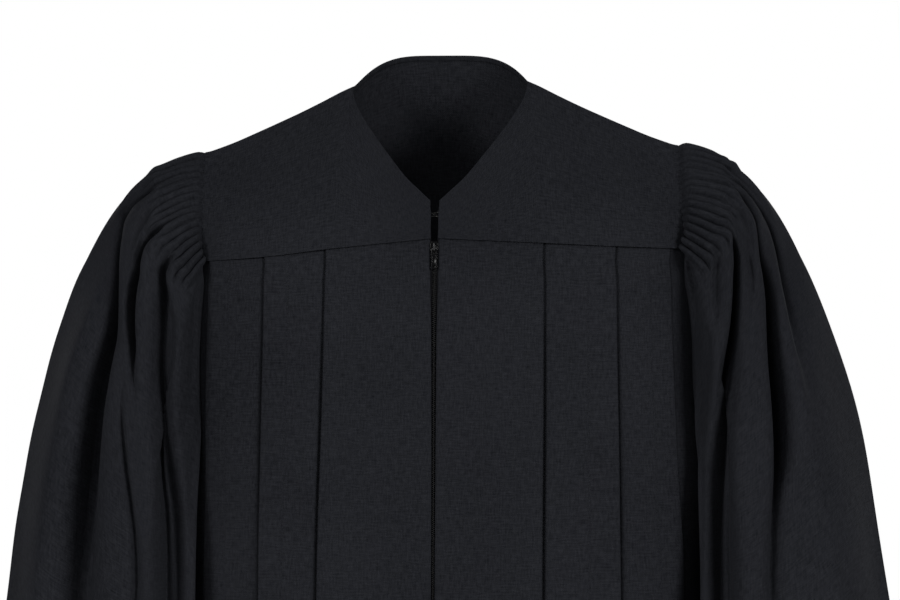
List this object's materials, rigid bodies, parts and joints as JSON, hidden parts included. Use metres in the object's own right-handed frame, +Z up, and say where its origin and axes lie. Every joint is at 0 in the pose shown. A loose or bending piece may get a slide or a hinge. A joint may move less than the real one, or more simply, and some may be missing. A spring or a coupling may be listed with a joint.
{
  "type": "graduation gown",
  "caption": "Black open-hemmed graduation gown in worn hollow form, with a V neck, smooth yoke, fluted bell sleeves, knife-pleated fronts and a front zip.",
  "frame": {"origin": "between the two side neck points, at the height of the neck's sides, where the wearer's shoulders carry the gown", "axes": "+Z up, the front faces -Y, and +X is the wearer's left"},
  "size_m": [0.924, 0.5443, 1.4012],
  "materials": {
    "gown_cloth": "matte woven polyester with a faint sheen",
    "zip_tape": "matte woven tape",
    "nylon_coil": "semi-matte nylon coil",
    "black_metal": "black enamelled metal, worn bright at the edges"
  },
  "bodies": {
    "gown": {"yoke_front_right": "gown_cloth", "yoke_front_left": "gown_cloth", "yoke_back": "gown_cloth", "front_right": "gown_cloth", "front_left": "gown_cloth", "back": "gown_cloth", "sleeve_right": "gown_cloth", "sleeve_left": "gown_cloth", "zip_tape_right": "zip_tape", "zip_tape_left": "zip_tape", "zip_chain": "nylon_coil", "zip_bottom_stop": "black_metal", "zip_slider": "black_metal", "hook": "black_metal", "eye": "black_metal"},
    "pull_tab": {"zip_pull_tab": "black_metal"}
  },
  "joints": [
    {"name": "pull_tab_hinge", "type": "hinge", "parent": "gown", "child": "pull_tab", "pos_m": [0, -0.11303, -0.16019], "axis": [-1, 0, 0], "range_deg": [0, 140]}
  ]
}
